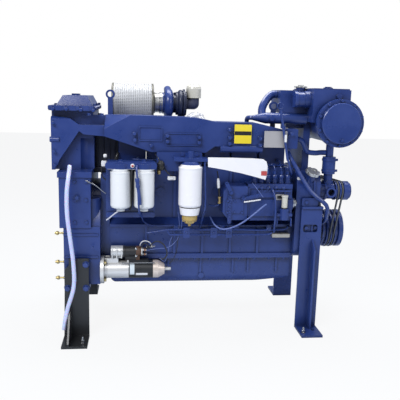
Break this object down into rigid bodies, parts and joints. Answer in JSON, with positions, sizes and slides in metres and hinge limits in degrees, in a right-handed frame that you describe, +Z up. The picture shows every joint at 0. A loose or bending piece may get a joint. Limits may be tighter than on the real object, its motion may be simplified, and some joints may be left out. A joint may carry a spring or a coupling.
{
  "type": "marine diesel engine",
  "caption": "In-line marine diesel engine on transport legs, with injection pump, charge air cooler, turbocharger, heat exchanger, starter, filters and belt drive.",
  "frame": {"origin": "on the floor under the middle of the engine", "axes": "+X from the flywheel end to the pulley end, +Y away from the injection pump side, +Z up"},
  "size_m": [1.6078, 0.912, 1.3112],
  "materials": {
    "blue_paint": "glossy",
    "cast_iron": "matt",
    "bare_steel": "satin",
    "aluminium": "satin",
    "zinc_mesh": "satin",
    "belt_rubber": "matt",
    "hose_rubber": "satin",
    "cream_plastic": "matt",
    "white_paint": "glossy",
    "amber_plastic": "glossy",
    "lavender_pvc": "satin",
    "paper": "matt"
  },
  "bodies": {
    "engine": {"cylinder_block": "blue_paint", "main_bearing_caps": "cast_iron", "cylinder_liners": "cast_iron", "oil_pan": "blue_paint", "cylinder_heads": "blue_paint", "rocker_covers": "blue_paint", "flywheel_housing": "blue_paint", "rear_pedestal": "blue_paint", "front_gear_case": "blue_paint", "gear_case_cover": "blue_paint", "crankcase_side_cover": "blue_paint", "starter_motor": "aluminium", "starter_solenoid": "aluminium", "sea_water_pump": "blue_paint", "alternator": "aluminium", "v_belts": "belt_rubber", "intake_manifold": "blue_paint", "intercooler": "blue_paint", "intercooler_cover": "blue_paint", "exhaust_manifold": "blue_paint", "air_filter": "zinc_mesh", "air_intake_neck": "aluminium", "turbocharger": "blue_paint", "exhaust_elbow": "blue_paint", "exhaust_cap": "cream_plastic", "heat_exchanger": "blue_paint", "heat_exchanger_covers": "blue_paint", "header_tank": "blue_paint", "coolant_pipes": "blue_paint", "pump_hose": "hose_rubber", "return_hose": "hose_rubber", "injection_pump": "blue_paint", "injection_pipes": "blue_paint", "fuel_filters": "white_paint", "filter_bracket": "blue_paint", "water_separator": "white_paint", "separator_bowl": "amber_plastic", "fuel_pipes": "blue_paint", "dipstick_tube": "blue_paint", "legs": "blue_paint", "drain_hose": "lavender_pvc", "document_sleeve": "paper"},
    "crank": {"crankshaft": "bare_steel", "flywheel": "bare_steel", "crank_pulley": "blue_paint"},
    "cam": {"camshaft": "bare_steel"},
    "pump_drive": {"pump_coupling": "bare_steel"},
    "sea_pulley": {"sea_pump_pulley": "blue_paint"},
    "alt_pulley": {"alternator_pulley": "aluminium"},
    "rotor": {"turbo_rotor": "bare_steel"},
    "pinion": {"starter_pinion": "bare_steel"},
    "outer_pistons": {"pistons_outer": "aluminium"},
    "middle_pistons": {"pistons_middle": "aluminium"},
    "inner_pistons": {"pistons_inner": "aluminium"},
    "throttle": {"throttle_lever": "bare_steel"},
    "stop": {"stop_lever": "blue_paint"},
    "primer": {"hand_primer": "cream_plastic"},
    "oil_cap": {"oil_filler_cap": "aluminium"},
    "water_cap": {"filler_cap": "aluminium"},
    "dip": {"dipstick": "bare_steel"}
  },
  "joints": [
    {"name": "crank_turn", "type": "hinge", "parent": "engine", "child": "crank", "pos_m": [0, 0, 0.505], "axis": [1, 0, 0], "continuous": true},
    {"name": "cam_turn", "type": "hinge", "parent": "engine", "child": "cam", "pos_m": [0, -0.10539, 0.62204], "axis": [1, 0, 0], "continuous": true},
    {"name": "pump_drive_turn", "type": "hinge", "parent": "engine", "child": "pump_drive", "pos_m": [0, -0.24, 0.697], "axis": [1, 0, 0], "continuous": true},
    {"name": "sea_pump_turn", "type": "hinge", "parent": "engine", "child": "sea_pulley", "pos_m": [0, -0.15, 0.75], "axis": [1, 0, 0], "continuous": true},
    {"name": "alternator_turn", "type": "hinge", "parent": "engine", "child": "alt_pulley", "pos_m": [0, 0.172, 0.745], "axis": [1, 0, 0], "continuous": true},
    {"name": "turbo_turn", "type": "hinge", "parent": "engine", "child": "rotor", "pos_m": [0, 0.15, 1.195], "axis": [1, 0, 0], "continuous": true},
    {"name": "pinion_slide", "type": "slide", "parent": "engine", "child": "pinion", "axis": [-1, 0, 0], "range_m": [0, 0.02], "stiffness_N_per_m": 400},
    {"name": "outer_piston_stroke", "type": "slide", "parent": "engine", "child": "outer_pistons", "axis": [0, 0, -1], "range_m": [0, 0.13]},
    {"name": "middle_piston_stroke", "type": "slide", "parent": "engine", "child": "middle_pistons", "axis": [0, 0, 1], "range_m": [-0.025, 0.105]},
    {"name": "inner_piston_stroke", "type": "slide", "parent": "engine", "child": "inner_pistons", "axis": [0, 0, 1], "range_m": [-0.025, 0.105]},
    {"name": "throttle_swing", "type": "hinge", "parent": "engine", "child": "throttle", "pos_m": [0.17232, 0, 0.731], "axis": [0, 1, 0], "range_deg": [-30, 12]},
    {"name": "stop_swing", "type": "hinge", "parent": "engine", "child": "stop", "pos_m": [0.1068, 0, 0.763], "axis": [0, 1, 0], "range_deg": [0, 35]},
    {"name": "primer_press", "type": "slide", "parent": "engine", "child": "primer", "axis": [0, 0, 1], "range_m": [0, 0.022]},
    {"name": "oil_cap_turn", "type": "hinge", "parent": "engine", "child": "oil_cap", "pos_m": [0.536, -0.208, 0.791], "axis": [0.1899, -0.4067, 0.8936], "range_deg": [0, 90]},
    {"name": "water_cap_turn", "type": "hinge", "parent": "engine", "child": "water_cap", "pos_m": [0.4998, -0.1, 1.3], "axis": [0, 0, 1], "range_deg": [0, 90]},
    {"name": "dipstick_pull", "type": "slide", "parent": "engine", "child": "dip", "axis": [-0.1908, 0, 0.9816], "range_m": [0, 0.24]}
  ],
  "couplings": [
    {"joint": "cam_turn", "follows": "crank_turn", "ratio": -0.5},
    {"joint": "pump_drive_turn", "follows": "crank_turn", "ratio": 0.5},
    {"joint": "sea_pump_turn", "follows": "crank_turn", "ratio": 2.1828},
    {"joint": "alternator_turn", "follows": "crank_turn", "ratio": 2.7808}
  ]
}
